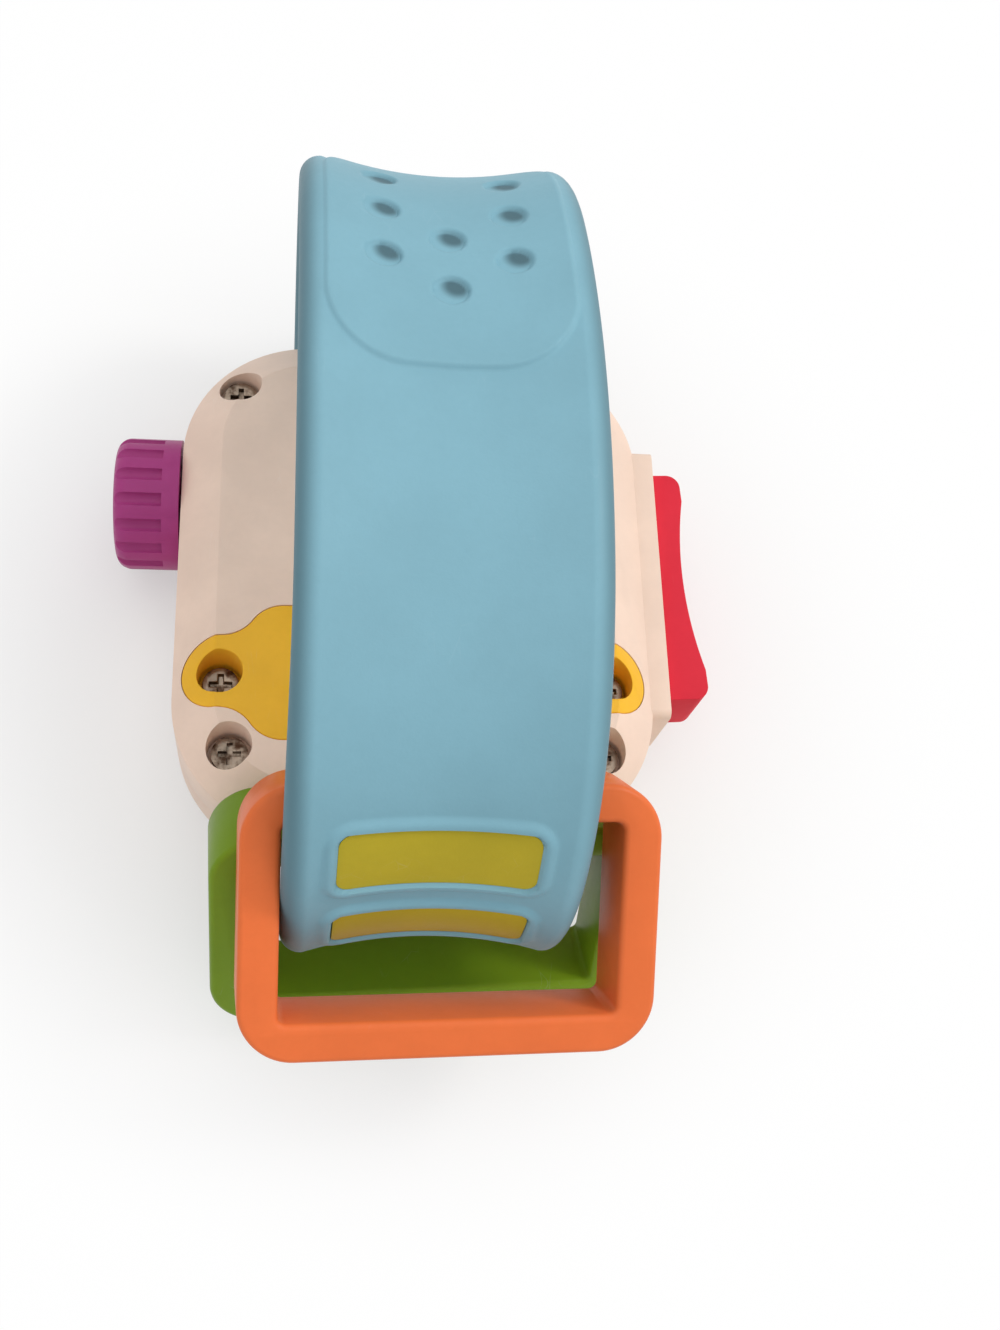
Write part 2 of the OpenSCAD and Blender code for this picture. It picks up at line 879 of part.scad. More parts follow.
module speaker_magnet() {
    color("gray")
        translate([0, speaker_y, speaker_plate_z - speaker_magnet_h])
            cylinder(d = speaker_magnet_d, h = speaker_magnet_h);
}

module speaker_leads() {
    color("firebrick")
        for (sx = [-1, 1])
            translate([sx * speaker_lead_x, speaker_lead_y, board_top_z])
                cylinder(d = lead_d, h = speaker_plate_z - board_top_z);
}

module battery_leads() {
    color("firebrick")
        for (sx = [-1, 1])
            translate([sx * battery_lead_x, battery_lead_y, board_top_z])
                cylinder(d = lead_d, h = box_floor_z - box_wall - board_top_z);
}

// Grip turned about the X axis, with grooves that stop short of a plain collar
module crown() {
    r = crown_d / 2;
    color(purple)
        translate([-side_x - crown_gap, crown_y, part_z])
            rotate([0, -90, 0])
                difference() {
                    rotate_extrude() {
                        square([r - crown_edge_r, crown_l]);
                        square([r, crown_l - crown_edge_r]);
                        translate([r - crown_edge_r, crown_l - crown_edge_r])
                            circle(r = crown_edge_r);
                    }
                    for (k = [0:crown_grooves - 1])
                        rotate([0, 0, k * 360 / crown_grooves])
                            translate([r, 0, crown_collar_l])
                                cylinder(r = crown_groove_r, h = crown_l);
                    translate([0, 0, -over])
                        cylinder(d = crown_shaft_d, h = crown_socket_l + over);
                }
}

// Shaft from the crown's socket to its clip, with the cam that works the leaf
module crown_shaft() {
    shaft_x = -side_x - crown_gap - crown_socket_l;
    color(steel) {
        crown_hole(crown_shaft_d, shaft_x, shaft_end_x);
        crown_hole(crown_cam_d, cam_x, cam_x + crown_cam_t);
    }
}

module crown_bush() {
    color("whitesmoke")
        difference() {
            union() {
                crown_hole(bush_d, -side_x + fit_gap, bush_in_x);
                crown_hole(bush_flange_d, bush_in_x - bush_flange_t + fit_gap, bush_in_x);
            }
            crown_hole(crown_shaft_d + 2 * run_gap, -side_x - over, bush_in_x + over);
        }
}

module crown_clip() {
    color("black")
        difference() {
            crown_hole(clip_d, clip_x, clip_x + clip_t);
            crown_hole(crown_shaft_d, clip_x - over, clip_x + clip_t + over);
        }
}

// Spring leaf standing on the floor below the crown's cam
module crown_leaf() {
    leaf_top = part_z - crown_cam_d / 2 - part_gap;
    color("goldenrod") {
        translate([cam_x, crown_y - leaf_w / 2, floor_z])
            cube([leaf_t, leaf_w, leaf_top - floor_z]);
        translate([cam_x, crown_y - leaf_w / 2, floor_z])
            cube([leaf_foot_l, leaf_w, leaf_t]);
    }
}

// Rocker with its hollow face outward, resting with its south end out
module rocker() {
    color(red)
        translate([rocker_pin_x, rocker_y, rocker_z])
            rotate([0, 0, rocker_tilt])
                difference() {
                    linear_extrude(rocker_h)
                        rocker_plan();
                    translate([0, 0, -over])
                        cylinder(d = rocker_pin_d + 2 * run_gap, h = rocker_h + 2 * over);
                }
}

module rocker_plan() {
    depth = rocker_face_x - rocker_back_x;
    difference() {
        translate([rocker_back_x - rocker_pin_x + depth / 2, 0])
            rounded(depth, rocker_l, rocker_end_r);
        translate([rocker_face_x - rocker_pin_x - rocker_dish + rocker_dish_r, 0])
            circle(r = rocker_dish_r, $fn = 2 * $fn);
    }
}

module rocker_pin() {
    color(steel)
        translate([rocker_pin_x, rocker_y, housing_z + rocker_pin_cover])
            cylinder(d = rocker_pin_d, h = housing_h - 2 * rocker_pin_cover);
}

// Raised frame plugged into the side of both shells
module rocker_housing() {
    plug_l = pocket_l + 2 * housing_plug_wall;
    plug_h = pocket_h + 2 * housing_plug_wall;
    mid_z = housing_z + housing_h / 2;
    color(cream)
        difference() {
            union() {
                difference() {
                    translate([corner_x, rocker_y, mid_z])
                        rotate([90, 0, 90])
                            linear_extrude(case_corner_r + housing_reach)
                                rounded(housing_l, housing_h, housing_edge_r);
                    case_block();
                }
                translate([side_x - housing_plug_l, rocker_y - plug_l / 2, mid_z - plug_h / 2])
                    cube([housing_plug_l, plug_l, plug_h]);
            }
            translate([0, rocker_y - pocket_l / 2, mid_z - pocket_h / 2])
                cube([case_w, pocket_l, pocket_h]);
            translate([rocker_pin_x, rocker_y, housing_z + rocker_pin_cover])
                cylinder(d = rocker_pin_d, h = housing_h - 2 * rocker_pin_cover);
        }
}

module switch_board() {
    color("darkgreen")
        translate([switch_board_x - switch_board_t, rocker_y - switch_board_l / 2, floor_z])
            cube([switch_board_t, switch_board_l, switch_board_top - floor_z]);
}

module side_switches() {
    color("black")
        for (sy = [-1, 1])
            translate([switch_board_x, rocker_y + sy * switch_dy, switch_z]) {
                translate([0, -switch_w / 2, -switch_w / 2])
                    cube([switch_h, switch_w, switch_w]);
                rotate([0, 90, 0])
                    cylinder(d = switch_plunger_d, h = switch_h + switch_plunger_l);
            }
}

// Section of the strap: X is outward, Y runs across the strap
module strap_section() {
    difference() {
        rounded(strap_t, strap_w, strap_rim_r);
        translate([dish_u, 0])
            circle(r = dish_r, $fn = 4 * $fn);
    }
}

// Layer that follows the hollow of the section, from below it to above it
module dish_layer(w, below, above) {
    intersection() {
        translate([0, -w / 2])
            square([strap_t, w]);
        translate([dish_u - strap_t, 0])
            difference() {
                translate([strap_t, 0])
                    circle(r = dish_r + below, $fn = 4 * $fn);
                translate([strap_t, 0])
                    circle(r = dish_r - above, $fn = 4 * $fn);
            }
    }
}

// Frame at an angle round a centre in the YZ plane, counted from +Y over +Z: X outward, Z along the axis
module round_loop(y, z, a) {
    translate([0, y, z])
        rotate([90, 0, 90])
            rotate([0, 0, a])
                children();
}

module loop_arc(y, z, r, from, to) {
    round_loop(y, z, from)
        rotate_extrude(angle = to - from)
            translate([r, 0])
                children();
}

// Wedge of the YZ plane that holds the crown of the loop, or the side next to it
module loop_wedge(side) {
    top_y = 3 * strap_side_y;
    top_z = strap_crown_z + 3 * strap_crown_drop;
    far_y = 2 * top_y;
    rotate([90, 0, 90])
        linear_extrude(2 * strap_w, center = true)
            polygon(side
                ? [[strap_side_y, strap_bend_z], [far_y, strap_bend_z], [far_y, top_z], [top_y, top_z]]
                : [[0, strap_crown_z], [top_y, top_z], [-top_y, top_z]]);
}

module crown_arc() {
    intersection() {
        loop_arc(0, strap_crown_z, strap_crown_r, 0, 180)
            children();
        loop_wedge(false);
    }
}

module side_arc() {
    intersection() {
        loop_arc(strap_side_y, strap_bend_z, strap_side_r, 0, 90)
            children();
        loop_wedge(true);
    }
}

// Section carried from one root over the top of the loop to the other
module strap_loop() {
    crown_arc()
        children();
    for (m = [0, 1])
        mirror([0, m, 0]) {
            side_arc()
                children();
            loop_arc(strap_bend_y, strap_bend_z, strap_bend_r, -90, 0)
                children();
        }
}

// Straight tongue from a bend of the loop into the case, at the north or the south end
module strap_tongue(end) {
    from = min(end * tongue_y, end * strap_bend_y + strap_shift);
    to = max(end * tongue_y, end * strap_bend_y + strap_shift);
    translate([-strap_w / 2, from, strap_root_z - strap_t / 2])
        cube([strap_w, to - from, strap_t]);
}

// Place on the strap's middle line, a length from the top of the loop towards its dimpled end
module on_strap(s) {
    side_a = (s - strap_crown_s) / strap_side_r * 180 / PI;
    if (s < strap_crown_s)
        round_loop(0, strap_crown_z, 90 - s / strap_crown_r * 180 / PI)
            translate([strap_crown_r, 0, 0])
                children();
    else
        round_loop(strap_side_y, strap_bend_z, 90 - strap_crown_a - side_a)
            translate([strap_side_r, 0, 0])
                children();
}

module dimple(s, x) {
    rise = dish_u - sqrt(pow(dish_r, 2) - pow(x, 2));
    on_strap(s)
        translate([rise - dimple_depth, 0, x])
            rotate([0, 90, 0])
                cylinder(d = dimple_d, h = strap_t);
}

// Raised flap with a round tip, moulded on the top of the loop
module strap_flap() {
    intersection() {
        union() {
            crown_arc()
                dish_layer(flap_w, relief_root, relief_t);
            side_arc()
                dish_layer(flap_w, relief_root, relief_t);
        }
        translate([0, flap_tip_y + flap_l / 2, 0])
            linear_extrude(2 * strap_top_z)
                rounded(flap_w, flap_l, flap_tip_r);
    }
}

// Patch on the strap's south side that follows its hollow
module inlay_patch(k, w, l, below, above) {
    half = l / strap_side_r * 90 / PI;
    mid = 90 + inlay_first_a + k * inlay_pitch / strap_side_r * 180 / PI;
    loop_arc(-strap_side_y, strap_bend_z, strap_side_r, mid - half, mid + half)
        dish_layer(w, below, above);
}

// Closed loop from the case's south end over the back to its north end
module strap() {
    border_w = inlay_w + 2 * inlay_border;
    border_l = inlay_l + 2 * inlay_border;
    color(blue)
        difference() {
            union() {
                translate([0, strap_shift, 0]) {
                    strap_loop()
                        strap_section();
                    strap_flap();
                    for (k = [0:inlay_count - 1])
                        inlay_patch(k, border_w, border_l, relief_root, relief_t);
                }
                for (sy = [-1, 1])
                    strap_tongue(sy);
            }
            translate([0, strap_shift, 0]) {
                for (k = [0:dimple_mid_rows - 1])
                    dimple(dimple_first + k * dimple_pitch, 0);
                for (k = [0:dimple_side_rows - 1], sx = [-1, 1])
                    dimple(dimple_first + dimple_side_shift + k * dimple_pitch, sx * dimple_side_x);
                for (k = [0:inlay_count - 1])
                    inlay_patch(k, inlay_w + 2 * run_gap, inlay_l + 2 * run_gap, inlay_sunk, strap_t);
            }
            for (sy = [-1, 1])
                translate([0, sy * pin_y, strap_root_z])
                    rotate([0, 90, 0])
                        cylinder(d = pin_d + 2 * run_gap, h = strap_w + 2 * over, center = true);
        }
}

module strap_inlays() {
    color([0.68, 0.62, 0.20])
        translate([0, strap_shift, 0])
            for (k = [0:inlay_count - 1])
                inlay_patch(k, inlay_w, inlay_l, inlay_sunk, inlay_proud);
}

module strap_pins() {
    color(steel)
        for (sy = [-1, 1])
            translate([0, sy * pin_y, strap_root_z])
                rotate([0, 90, 0])
                    cylinder(d = pin_d, h = pin_l, center = true);
}

// Frame standing on its own XY plane, round outside and square inside
module ring(w) {
    linear_extrude(ring_t)
        difference() {
            rounded(w, ring_l, ring_corner_r);
            rounded(w - 2 * ring_wall, ring_l - 2 * ring_wall, ring_inner_r);
        }
}

module green_ring() {
    color(green)
        translate([green_x, green_y, green_z])
            rotate([green_lean, 0, 0])
                rotate([0, ring_roll, 0])
                    ring(green_w);
}

module orange_ring() {
    color(orange)
        translate([orange_x, orange_y, orange_z])
            rotate([orange_lean, 0, 0])
                rotate([0, ring_roll, 0])
                    ring(orange_w);
}

front_shell();
rear_shell();
bezel();
dial();
dial_marks();
hour_hand();
minute_hand();
hand_post();
battery_door();
door_screws();
case_screws();
battery_cell_north();
battery_cell_south();
contact_springs();
contact_plates();
circuit_board();
sound_chip();
board_screws();
speaker_frame();
speaker_cone();
speaker_magnet();
speaker_leads();
battery_leads();
crown();
crown_shaft();
crown_bush();
crown_clip();
crown_leaf();
rocker();
rocker_pin();
rocker_housing();
switch_board();
side_switches();
strap();
strap_inlays();
strap_pins();
green_ring();
orange_ring();
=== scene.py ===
import bpy
import json
import math
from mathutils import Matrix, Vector


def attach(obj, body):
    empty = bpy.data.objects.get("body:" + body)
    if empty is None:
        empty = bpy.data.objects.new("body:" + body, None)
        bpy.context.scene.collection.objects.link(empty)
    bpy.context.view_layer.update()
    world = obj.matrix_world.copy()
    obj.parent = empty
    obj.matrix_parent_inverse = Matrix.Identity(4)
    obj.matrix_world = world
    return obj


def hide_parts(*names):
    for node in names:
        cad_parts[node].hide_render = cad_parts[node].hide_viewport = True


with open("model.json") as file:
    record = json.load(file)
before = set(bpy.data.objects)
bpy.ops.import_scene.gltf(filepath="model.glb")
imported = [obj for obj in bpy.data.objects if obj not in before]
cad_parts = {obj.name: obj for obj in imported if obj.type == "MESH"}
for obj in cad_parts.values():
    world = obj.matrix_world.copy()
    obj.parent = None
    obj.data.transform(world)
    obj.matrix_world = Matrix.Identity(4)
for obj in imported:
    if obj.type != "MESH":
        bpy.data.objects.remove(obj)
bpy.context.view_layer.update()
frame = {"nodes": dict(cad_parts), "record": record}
nodes = frame["nodes"]
record = frame["record"]
bodyOf = {node: body for body, group in record["behaviour"]["bodies"].items() for node in group}
slotOf = {part["node"]: part["material_slot"] for part in record["subparts"]}
mm = 0.001


# camera and studio
shot = {
    "place": (-0.02240, -0.10430, 0.25240),
    "turn": (21.468, -8.260, -1.963),  # degrees about X, Y, Z
    "focal": 1.5,                      # focal length over the picture's width
    "sensor": 36,
    "near": 0.01,
}
studio = {
    "ambient": 0.60,
    "floorSize": 6,
    "floorGrey": 0.88,
    # share of plain white that the camera sees under the object and far from it,
    # and the metres from the object's middle between which it grows
    "floorGlow": (0.42, 0.98),
    "floorFade": (0.050, 0.110),
    "lamps": {
        "key": {"place": (0.46, 0.10, 0.58), "size": 0.16, "power": 1.5, "tint": (1.0, 0.97, 0.93)},
        "softbox": {"place": (0.00, 0.05, 0.80), "size": 1.1, "power": 2.6, "tint": (1.0, 0.99, 0.98)},
    },
    "aim": (0, -0.01, 0.03),
}


def makeCamera():
    bpy.ops.object.camera_add(location=shot["place"], rotation=[math.radians(a) for a in shot["turn"]])
    camera = bpy.context.object
    camera.name = "photoCamera"
    camera.data.sensor_fit = "HORIZONTAL"
    camera.data.sensor_width = shot["sensor"]
    camera.data.lens = shot["sensor"] * shot["focal"]
    camera.data.clip_start = shot["near"]
    bpy.context.scene.camera = camera


def makeLamps():
    for name, lamp in studio["lamps"].items():
        bpy.ops.object.light_add(type="AREA", location=lamp["place"])
        light = bpy.context.object
        light.name = name + "Lamp"
        toObject = Vector(studio["aim"]) - Vector(lamp["place"])
        light.rotation_euler = toObject.to_track_quat("-Z", "Y").to_euler()
        light.data.size = lamp["size"]
        light.data.energy = lamp["power"]
        light.data.color = lamp["tint"]


# one wrapper for shader sockets: Python maths on values adds the Math nodes
class Wire:
    def __init__(self, tree, socket=None):
        self.tree = tree
        self.socket = socket

    def add(self, kind, settings=None, sockets=None, out=0):
        node = self.tree.nodes.new(kind)
        for name, value in (settings or {}).items():
            setattr(node, name, value)
        for name, value in (sockets or {}).items():
            if isinstance(value, Wire):
                self.tree.links.new(value.socket, node.inputs[name])
            else:
                node.inputs[name].default_value = value
        return Wire(self.tree, node.outputs[out] if node.outputs else None)

    def maths(self, operation, *values):
        return self.add("ShaderNodeMath", {"operation": operation}, dict(enumerate(values)))

    def __add__(self, other):
        return self.maths("ADD", self, other)

    __radd__ = __add__

    def __sub__(self, other):
        return self.maths("SUBTRACT", self, other)

    def __rsub__(self, other):
        return self.maths("SUBTRACT", other, self)

    def __mul__(self, other):
        return self.maths("MULTIPLY", self, other)

    __rmul__ = __mul__

    def clamp(self):
        return self.add("ShaderNodeClamp", sockets={"Value": self})

    def step(self, low, high):
        return self.add("ShaderNodeMapRange", {"interpolation_type": "SMOOTHSTEP"},
                        {"Value": self, "From Min": low, "From Max": high})

    def blend(self, first, second):
        return self.add("ShaderNodeMix", {"data_type": "RGBA"}, {0: self, 6: first, 7: second}, 2)


def newMaterial(name):
    material = bpy.data.materials.new(name)
    material.use_nodes = True
    material.node_tree.nodes.clear()
    return material, Wire(material.node_tree)


def colour(tone):
    return (*tone, 1)


def seenRays(wire):  # 1 for the rays that show the floor and the backdrop, 0 for those that light the object
    rays = "Is Camera Ray", "Is Glossy Ray", "Is Transmission Ray"
    camera, glossy, through = [wire.add("ShaderNodeLightPath", out=ray) for ray in rays]
    return (camera + glossy + through).clamp()


def shade(tone, share):
    return tuple(min(1, c * share) for c in tone)


def fromScreen(r, g, b):  # screen levels to the linear values that sockets take
    return tuple(((c / 255 + 0.055) / 1.055) ** 2.4 if c > 10 else c / 255 / 12.92 for c in (r, g, b))


def makeFloor():
    bpy.ops.object.select_all(action="DESELECT")
    bpy.ops.mesh.primitive_plane_add(size=studio["floorSize"])
    floor = bpy.context.object
    floor.name = "floor"
    material, wire = newMaterial("floorPaper")
    grey = studio["floorGrey"]
    paper = wire.add("ShaderNodeBsdfDiffuse", sockets={"Color": colour((grey, grey, grey))})
    glow = wire.add("ShaderNodeEmission", sockets={"Color": colour((1, 1, 1)), "Strength": 1})
    place = wire.add("ShaderNodeTexCoord", out="Object")
    reach = wire.add("ShaderNodeVectorMath", {"operation": "LENGTH"}, {0: place}, "Value")
    low, high = studio["floorGlow"]
    share = reach.step(*studio["floorFade"]) * (high - low) + low
    surface = wire.add("ShaderNodeMixShader", sockets={0: seenRays(wire) * share, 1: paper, 2: glow})
    wire.add("ShaderNodeOutputMaterial", sockets={"Surface": surface})
    floor.data.materials.append(material)


def makeWorld():
    world = bpy.data.worlds.new("studioWorld")
    bpy.context.scene.world = world
    world.use_nodes = True
    world.node_tree.nodes.clear()
    wire = Wire(world.node_tree)
    strength = seenRays(wire) * (1 - studio["ambient"]) + studio["ambient"]
    backdrop = wire.add("ShaderNodeBackground", sockets={"Color": colour((1, 1, 1)), "Strength": strength})
    wire.add("ShaderNodeOutputWorld", sockets={"Surface": backdrop})
    bpy.context.scene.view_settings.view_transform = "Standard"


makeCamera()
makeLamps()
makeFloor()
makeWorld()
print("camera, lamps and floor are in")


# moulded plastics: soft mottling, fine grain, hairline scuffs
plastics = {
    "cream_plastic": {"tone": fromScreen(246, 219, 201), "mottle": 0.05, "rough": 0.42,
                      "coat": 0.04, "grain": 0.10, "scuff": 0.25},
    "blue_plastic": {"tone": fromScreen(129, 175, 191), "mottle": 0.03, "rough": 0.48,
                     "coat": 0.02, "grain": 0.16, "scuff": 0.08},
    "yellow_plastic": {"tone": fromScreen(249, 190, 53), "mottle": 0.06, "rough": 0.36,
                       "coat": 0.06, "grain": 0.08, "scuff": 0.2},
    "inlay_plastic": {"tone": fromScreen(186, 168, 44), "mottle": 0.06, "rough": 0.5,
                      "coat": 0.02, "grain": 0.2, "scuff": 0.15},
    "orange_plastic": {"tone": fromScreen(236, 118, 64), "mottle": 0.05, "rough": 0.36,
                       "coat": 0.06, "grain": 0.08, "scuff": 0.2},
    "green_plastic": {"tone": fromScreen(118, 150, 28), "mottle": 0.06, "rough": 0.36,
                      "coat": 0.06, "grain": 0.08, "scuff": 0.2},
    "purple_plastic": {"tone": fromScreen(172, 66, 130), "mottle": 0.06, "rough": 0.38,
                       "coat": 0.05, "grain": 0.08, "scuff": 0.2},
    "red_plastic": {"tone": fromScreen(223, 47, 65), "mottle": 0.05, "rough": 0.6,
                    "coat": 0.0, "grain": 0.06, "scuff": 0.2},
    "hand_blue_plastic": {"tone": fromScreen(60, 96, 180), "mottle": 0.05, "rough": 0.36,
                          "coat": 0.06, "grain": 0.06, "scuff": 0.15},
    "dial_plastic": {"tone": fromScreen(244, 240, 226), "mottle": 0.03, "rough": 0.5,
                     "coat": 0.02, "grain": 0.12, "scuff": 0.1},
    "white_plastic": {"tone": fromScreen(232, 232, 228), "mottle": 0.04, "rough": 0.4,
                      "coat": 0.03, "grain": 0.08, "scuff": 0.1},
    "black_plastic": {"tone": fromScreen(40, 40, 43), "mottle": 0.08, "rough": 0.5,
                      "coat": 0.02, "grain": 0.2, "scuff": 0.2},
    "wire_red": {"tone": fromScreen(190, 50, 40), "mottle": 0.05, "rough": 0.4,
                 "coat": 0.04, "grain": 0.05, "scuff": 0.1},
    "cell_wrap": {"tone": fromScreen(70, 72, 78), "mottle": 0.06, "rough": 0.3,
                  "coat": 0.12, "grain": 0.05, "scuff": 0.2},
    "board_green": {"tone": fromScreen(36, 110, 62), "mottle": 0.1, "rough": 0.3,
                    "coat": 0.10, "grain": 0.05, "scuff": 0.1},
}
# painted shade darkens the strap's rims, and more painted shade lies in its dimples, off their middles
plastics["strap_plastic"] = {**plastics["blue_plastic"], "dimple_shade": 0.36,
                             "rim": {"from": 0.0174, "to": 0.0206, "share": 0.56}}
grainLook = {                                                  # shared by all plastics, scales per metre
    "cloud": {"Scale": 60, "Detail": 4, "Roughness": 0.55}, "cloudEdge": (0.3, 0.7),
    "fleck": {"Scale": 900, "Detail": 2, "Roughness": 0.6}, "fleckEdge": (0.35, 0.75),
    "fleckShare": 0.10, "fleckShade": 0.86,
    "pores": {"Scale": 2600, "Detail": 2, "Roughness": 0.5},
    "scuffTurn": (0.3, 0.2, 0.6), "scuffStretch": (1, 0.12, 1), "scuffScale": 420, "scuffWidth": 0.02,
    "patch": {"Scale": 110, "Detail": 3, "Roughness": 0.6}, "patchEdge": (0.58, 0.72), "scuffPale": 0.4,
    "roughCloud": 0.12, "roughFleck": 0.10, "roughScuff": 0.3,
    "heightPores": 0.5, "heightFleck": 0.5, "heightScuff": 0.4, "depth": 0.0002,
    "body": {"Coat Roughness": 0.25, "IOR": 1.48, "Specular IOR Level": 0.12,
             "Subsurface Weight": 0.06, "Subsurface Radius": (0.002, 0.002, 0.002)},
}
metals = {
    "steel": {"tone": fromScreen(142, 128, 114), "tarnish": fromScreen(74, 52, 38), "rough": 0.34},
    "brass": {"tone": fromScreen(214, 180, 104), "tarnish": fromScreen(130, 96, 50), "rough": 0.36},
}
tarnishLook = {
    "stain": {"Scale": 520, "Detail": 4, "Roughness": 0.6}, "stainEdge": (0.42, 0.68), "roughStain": 0.22,
    "fine": {"Scale": 3200, "Detail": 2, "Roughness": 0.6}, "roughFine": 0.2,
    "strength": 0.15, "depth": 0.0001,
}
materials = {}


def noise(wire, place, settings):
    return wire.add("ShaderNodeTexNoise", sockets={"Vector": place, **settings})


def makePlastic(slot, look):
    grain, tone = grainLook, look["tone"]
    material, wire = newMaterial(slot + "_look")
    place = wire.add("ShaderNodeTexCoord", out="Object")
    kinds = "cloud", "fleck", "pores", "patch"
    cloud, fleck, pores, patch = [noise(wire, place, grain[kind]) for kind in kinds]
    # hairline scuffs: thin edges of a stretched cell pattern, kept to a few patches
    stretched = wire.add("ShaderNodeMapping", sockets={
        "Vector": place, "Rotation": grain["scuffTurn"], "Scale": grain["scuffStretch"]})
    cells = wire.add("ShaderNodeTexVoronoi", {"feature": "DISTANCE_TO_EDGE"},
                     {"Vector": stretched, "Scale": grain["scuffScale"]})
    scuff = (1 - cells.step(0.0, grain["scuffWidth"])) * patch.step(*grain["patchEdge"]) * look["scuff"]
    base = cloud.step(*grain["cloudEdge"]).blend(
        colour(shade(tone, 1 - look["mottle"])), colour(shade(tone, 1 + look["mottle"])))
    base = (fleck.step(*grain["fleckEdge"]) * grain["fleckShare"]).blend(
        base, colour(shade(tone, grain["fleckShade"])))
    # painted shade: the colour darkens across the rims, from 'from' to 'to' metres off the object's middle
    # line
    if "rim" in look:
        across = wire.add("ShaderNodeSeparateXYZ", sockets={"Vector": place})
        base = wire.maths("ABSOLUTE", across).step(look["rim"]["from"], look["rim"]["to"]).blend(
            base, colour(shade(tone, look["rim"]["share"])))
    # painted shade on the dimples' walls, read from a per-vertex attribute
    if "dimple_shade" in look:
        dimple_shade = wire.add("ShaderNodeAttribute", {"attribute_name": "dimple_shade"}, out="Fac")
        base = dimple_shade.blend(base, colour(shade(tone, look["dimple_shade"])))
    pale = tuple(c * (1 - grain["scuffPale"]) + grain["scuffPale"] for c in tone)
    base = scuff.blend(base, colour(pale))
    rough = ((cloud - 0.5) * grain["roughCloud"] + (fleck - 0.5) * grain["roughFleck"]
             + scuff * grain["roughScuff"] + look["rough"])
    height = pores * grain["heightPores"] + fleck * grain["heightFleck"] - scuff * grain["heightScuff"]
    normal = wire.add("ShaderNodeBump", sockets={
        "Strength": look["grain"], "Distance": grain["depth"], "Height": height})
    surface = wire.add("ShaderNodeBsdfPrincipled", sockets={
        "Base Color": base, "Roughness": rough.clamp(), "Normal": normal, "Coat Weight": look["coat"],
        **grain["body"]})
    wire.add("ShaderNodeOutputMaterial", sockets={"Surface": surface})
    return material


def makeMetal(slot, look):
    grain = tarnishLook
    material, wire = newMaterial(slot + "_look")
    place = wire.add("ShaderNodeTexCoord", out="Object")
    stain, fine = noise(wire, place, grain["stain"]), noise(wire, place, grain["fine"])
    mask = stain.step(*grain["stainEdge"])
    base = mask.blend(colour(look["tone"]), colour(look["tarnish"]))
    rough = mask * grain["roughStain"] + (fine - 0.5) * grain["roughFine"] + look["rough"]
    normal = wire.add("ShaderNodeBump", sockets={
        "Strength": grain["strength"], "Distance": grain["depth"], "Height": fine})
    surface = wire.add("ShaderNodeBsdfPrincipled", sockets={
        "Base Color": base, "Metallic": 1.0, "Roughness": rough.clamp(), "Normal": normal})
    wire.add("ShaderNodeOutputMaterial", sockets={"Surface": surface})
    return material


for slot, look in plastics.items():
    materials[slot] = makePlastic(slot, look)
for slot, look in metals.items():
    materials[slot] = makeMetal(slot, look)
for name, node in nodes.items():
    node.data.materials.clear()
    node.data.materials.append(materials[slotOf[name]])
print("materials:", len(materials))


def softStep(x, low, high):
    t = min(1, max(0, (x - low) / (high - low)))
    return t * t * (3 - 2 * t)


def roundedBox(x, y, halfX, halfY, radius):  # distance to a rounded rectangle, below zero inside
    qx, qy = abs(x) - halfX + radius, abs(y) - halfY + radius
    return math.hypot(max(qx, 0), max(qy, 0)) + min(max(qx, qy), 0) - radius


def startEdit(piece):
    bpy.ops.object.select_all(action="DESELECT")
    piece.select_set(True)
    bpy.context.view_layer.objects.active = piece
    bpy.ops.object.mode_set(mode="EDIT")
    bpy.ops.mesh.select_all(action="SELECT")


def endEdit():
    bpy.ops.object.mode_set(mode="OBJECT")


def finishPiece(piece, name, angle, *stands):
    piece.name = name
    piece.data.name = name
    bpy.ops.object.select_all(action="DESELECT")
    piece.select_set(True)
    bpy.context.view_layer.objects.active = piece
    bpy.ops.object.shade_smooth_by_angle(angle=math.radians(angle))
    slot = slotOf[stands[0]]
    piece.data.materials.clear()
    piece.data.materials.append(materials[slot])
    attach(piece, bodyOf[stands[0]])
    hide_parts(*stands)


# strap: one wrapped grid, all lengths in millimetres until the points are placed
strapLook = {
    "shift": -0.9,                      # the loop sits a little south of the case
    "crownRadius": 92, "crownZ": -10.5,
    "sideRadius": 40, "sideY": 20,
    "bendRadius": 18.5, "bendY": 41.5, "bendZ": 37.5,
    "tongueEnd": 36.5,
    "lean": 0.8, "leanGrow": (20, 70), "leanFade": (98, 113),  # the south side lies a little to the left
    "halfWidth": 20.75, "halfThick": 3.2, "rim": 3.1, "dish": 2.5, "dishHalf": 17.5,
    "dishFade": (98, 110),              # the hollow runs out towards the roots
    "flap": {"tip": 5.7, "end": 58.2, "halfWidth": 17.2, "corner": 11, "rise": 0.6, "edge": 0.35},
    # the last dimple entry gives the millimetres north and right of each dimple's middle where its painted
    # shade centres
    "dimples": {"first": 18.9, "pitch": 10.5, "midRows": 2, "sideRows": 3, "shift": 6, "side": 9.2,
                "depth": 3.3, "bowl": (1.1, 2.9), "dimple_shade": (1.2, 0.9)},
    "inlays": {"at": (-61.9, -77.4), "halfWidth": 13.6, "halfLength": 4.9, "corner": 1.9,
               "border": 1.8, "rise": 0.65, "borderEdge": (-1.0, 0.3),
               "pocket": 1.3, "pocketEdge": (-0.25, 0.25), "proud": 0.15, "gap": 0.1,
               "cornerSteps": 8, "cuts": (28, 14),
               "edge": 0.35, "edgeSteps": 3, "edgeAngle": 50, "smooth": 40},
    "fineZones": ((-86, -52), (2, 60)), "fine": 0.28, "coarse": 2.0, "column": 0.3,
    "rimSteps": (5, 8), "weld": 0.01, "smooth": 50,
}


